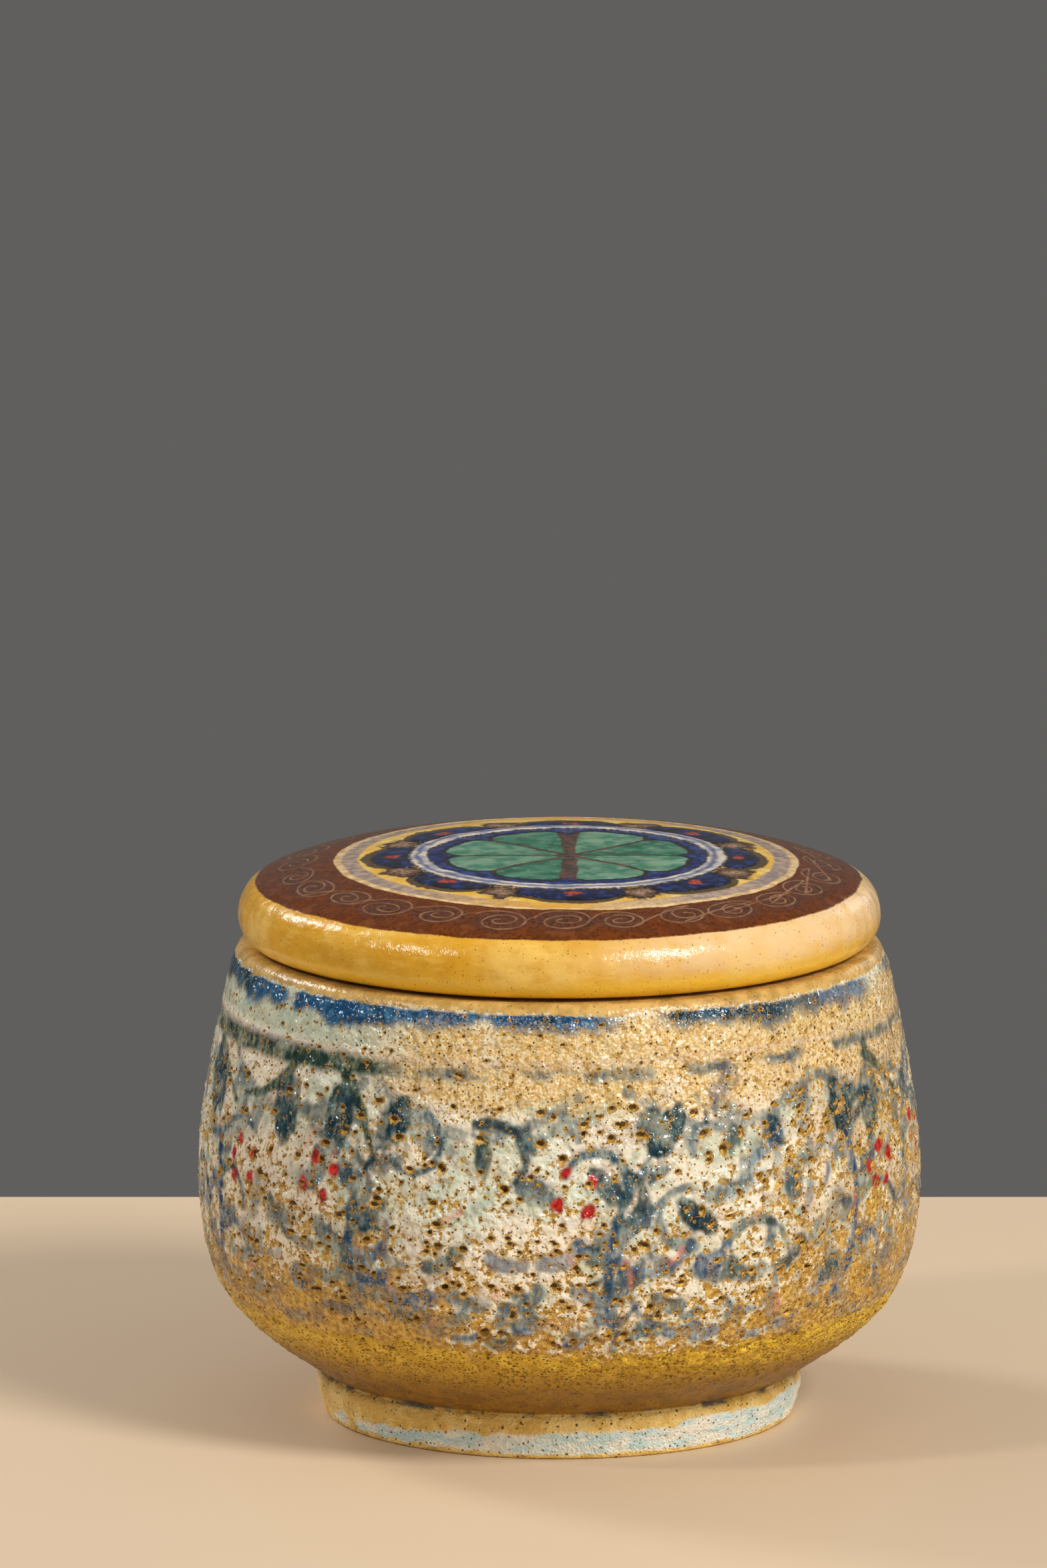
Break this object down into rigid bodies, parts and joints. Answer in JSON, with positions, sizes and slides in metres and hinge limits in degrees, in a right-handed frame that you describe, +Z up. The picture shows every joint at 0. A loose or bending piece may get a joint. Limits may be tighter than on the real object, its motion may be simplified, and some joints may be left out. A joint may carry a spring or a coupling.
{
  "type": "sugar jar",
  "caption": "Squat round ceramic sugar jar with a bellied body on a turned foot ring and a thick cushion-shaped lift-off lid, located by a flange in the mouth.",
  "frame": {"origin": "centre of the face that the foot ring stands on", "axes": "+Z up along the jar's axis; the jar is a body of revolution, and -Y is the side that the picture shows"},
  "size_m": [0.1198, 0.1198, 0.0936],
  "materials": {
    "body_glaze": "cratered pale glaze with ochre showing in the pits, blue, teal and red brushwork, smooth mustard near the foot",
    "lid_glaze": "glossy honey-yellow side, brown top band with scratched scrolls, painted rings and a green rosette"
  },
  "bodies": {
    "body": {"jar_body": "body_glaze"},
    "lid": {"lid": "lid_glaze"}
  },
  "joints": [
    {"name": "lid_lift", "type": "slide", "parent": "body", "child": "lid", "axis": [0, 0, 1], "range_m": [0, 0.08]}
  ]
}
